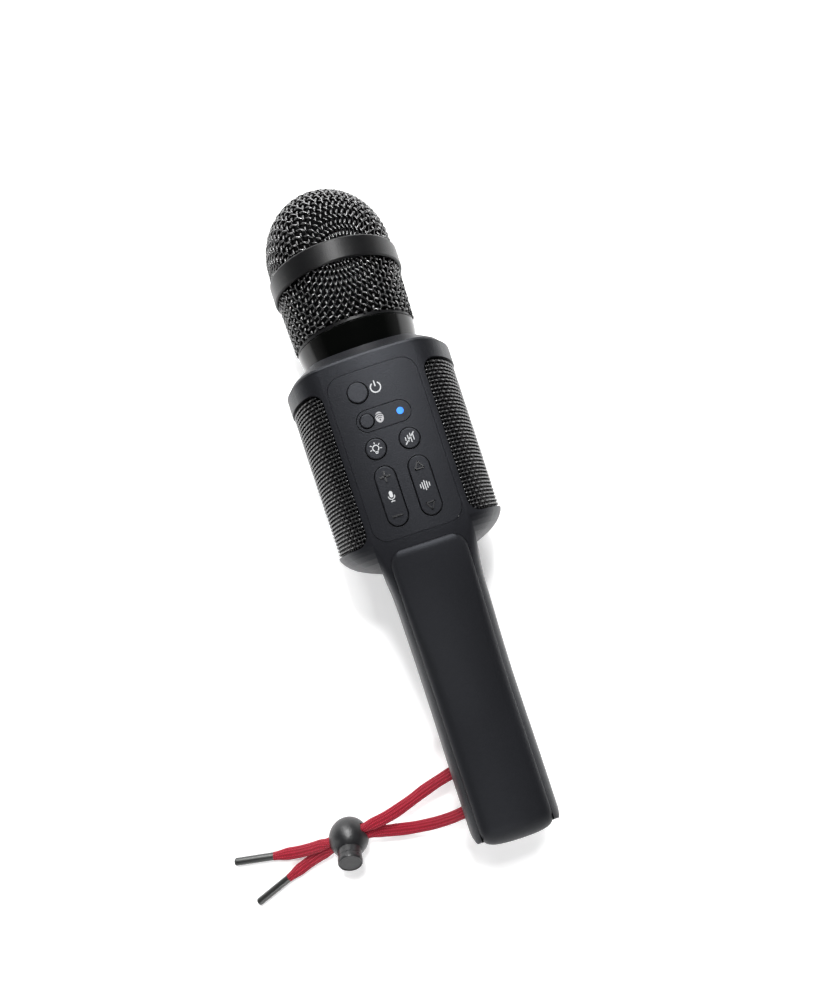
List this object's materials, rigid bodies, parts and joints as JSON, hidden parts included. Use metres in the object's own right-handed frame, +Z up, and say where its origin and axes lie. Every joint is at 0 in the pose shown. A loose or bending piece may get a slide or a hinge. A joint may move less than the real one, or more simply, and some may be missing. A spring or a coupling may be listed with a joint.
{
  "type": "karaoke microphone",
  "caption": "Hand-held wireless karaoke microphone with a woven mesh head, a speaker drum with side grilles and a control panel, and a padded handle with a lace lanyard.",
  "frame": {"origin": "centre of the box round the microphone without its lanyard, on the surface that its flat back lies on", "axes": "+Y along the microphone's axis towards the head, +Z up out of the control panel, +X to the right seen from above"},
  "size_m": [0.149, 0.2617, 0.0605],
  "materials": {
    "shell": "satin charcoal moulding, fine grain",
    "panel": "satin charcoal, fine grain",
    "button": "satin charcoal",
    "soft_grip": "soft-touch charcoal",
    "wire_mesh": "gloss black crimped wire",
    "grille": "black woven wire",
    "band": "satin black",
    "gloss": "piano black",
    "screw_ring": "dark satin metal",
    "foam": "open-cell foam",
    "capsule": "satin",
    "inner": "moulded black plastic",
    "board": "green solder mask",
    "switch": "moulded",
    "magnet": "plated steel",
    "cone": "pressed paper and rubber",
    "cell": "heat-shrink sleeve",
    "steel": "zinc plated",
    "light": "lit blue lens",
    "led": "clear",
    "lace": "woven crimson lace",
    "tip": "dark grey",
    "lock": "fine-grained black"
  },
  "bodies": {
    "microphone": {"front_shell": "shell", "rear_shell": "shell", "shoulder_cap": "shell", "control_panel": "panel", "pill_window": "panel", "status_light": "light", "status_led": "led", "speaker_grille_left": "grille", "speaker_grille_right": "grille", "speaker_chassis": "inner", "speaker_basket_left": "magnet", "speaker_basket_right": "magnet", "speaker_cone_left": "cone", "speaker_cone_right": "cone", "grip_pad": "soft_grip", "head_collar": "gloss", "head_base": "screw_ring", "lower_mesh": "wire_mesh", "band_ring": "band", "mesh_dome": "wire_mesh", "foam_screen": "foam", "mic_capsule": "capsule", "capsule_mount": "inner", "light_ring_board": "board", "main_board": "board", "tact_switches": "switch", "board_screws": "steel", "rocker_pins": "steel", "shell_screws": "steel", "cell": "cell", "cell_cradle": "inner", "port_board": "board", "audio_socket": "inner", "charging_socket": "steel", "lanyard_bar": "steel", "lace_upper": "lace", "lace_lower": "lace", "lace_tip_upper": "tip", "lace_tip_lower": "tip", "lock_barrel": "lock", "lock_spring": "steel"},
    "power_button": {"power_button": "button"},
    "wireless_button": {"wireless_button": "button"},
    "light_button": {"light_button": "button"},
    "mute_button": {"mute_button": "button"},
    "mic_rocker": {"mic_rocker": "button"},
    "music_rocker": {"music_rocker": "button"},
    "lock_plunger": {"lock_plunger": "lock"}
  },
  "joints": [
    {"name": "power_press", "type": "slide", "parent": "microphone", "child": "power_button", "axis": [0, 0, -1], "range_m": [0, 0.0004], "stiffness_N_per_m": 3000},
    {"name": "wireless_press", "type": "slide", "parent": "microphone", "child": "wireless_button", "axis": [0, 0, -1], "range_m": [0, 0.0004], "stiffness_N_per_m": 3000},
    {"name": "light_press", "type": "slide", "parent": "microphone", "child": "light_button", "axis": [0, 0, -1], "range_m": [0, 0.0004], "stiffness_N_per_m": 3000},
    {"name": "mute_press", "type": "slide", "parent": "microphone", "child": "mute_button", "axis": [0, 0, -1], "range_m": [0, 0.0004], "stiffness_N_per_m": 3000},
    {"name": "mic_rocker_tilt", "type": "hinge", "parent": "microphone", "child": "mic_rocker", "pos_m": [-0.00605, 0.006, 0.0552], "axis": [1, 0, 0], "range_deg": [-2.5, 2.5], "stiffness_Nm_per_rad": 0.4},
    {"name": "music_rocker_tilt", "type": "hinge", "parent": "microphone", "child": "music_rocker", "pos_m": [0.00605, 0.006, 0.0552], "axis": [1, 0, 0], "range_deg": [-2.5, 2.5], "stiffness_Nm_per_rad": 0.4},
    {"name": "cord_lock_press", "type": "slide", "parent": "microphone", "child": "lock_plunger", "axis": [0.05, 0.545, -0.837], "range_m": [0, 0.0026], "stiffness_N_per_m": 900, "deforming": ["lock_spring"]}
  ]
}
